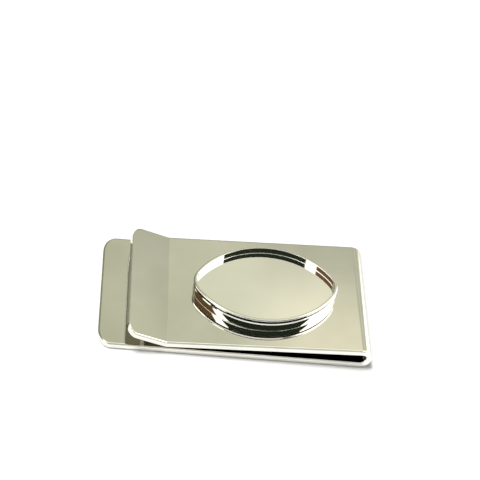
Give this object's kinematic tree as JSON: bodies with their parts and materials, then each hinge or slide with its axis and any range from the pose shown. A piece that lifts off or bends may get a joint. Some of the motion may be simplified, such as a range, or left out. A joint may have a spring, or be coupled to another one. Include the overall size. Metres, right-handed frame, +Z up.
{
  "type": "money clip",
  "caption": "Folded spring-strip money clip, polished metal, with a flared lip on its front leaf and an empty eye-shaped tray soldered on it for an inlay.",
  "frame": {"origin": "under the middle of the clip's box, on the plane that the back leaf lies on", "axes": "+X along the leaves towards the fold, with the open end at -X; +Y across the strip; +Z up, from the back leaf towards the tray"},
  "size_m": [0.0494, 0.0254, 0.0073],
  "materials": {
    "strip_steel": "mirror polish, with fine rub marks",
    "tray_steel": "mirror polish",
    "tray_floor_steel": "bright polish, a little softer than the wall",
    "solder": "satin"
  },
  "bodies": {
    "back": {"back_leaf": "strip_steel", "spring_bend": "strip_steel"},
    "front": {"front_leaf": "strip_steel", "solder_film": "solder", "tray_wall": "tray_steel", "tray_floor": "tray_floor_steel"}
  },
  "joints": [
    {"name": "clip_open", "type": "hinge", "parent": "back", "child": "front", "pos_m": [0.02245, 0, 0.00225], "axis": [0, 1, 0], "range_deg": [0, 7], "stiffness_Nm_per_rad": 16, "springref_deg": -1.72}
  ]
}
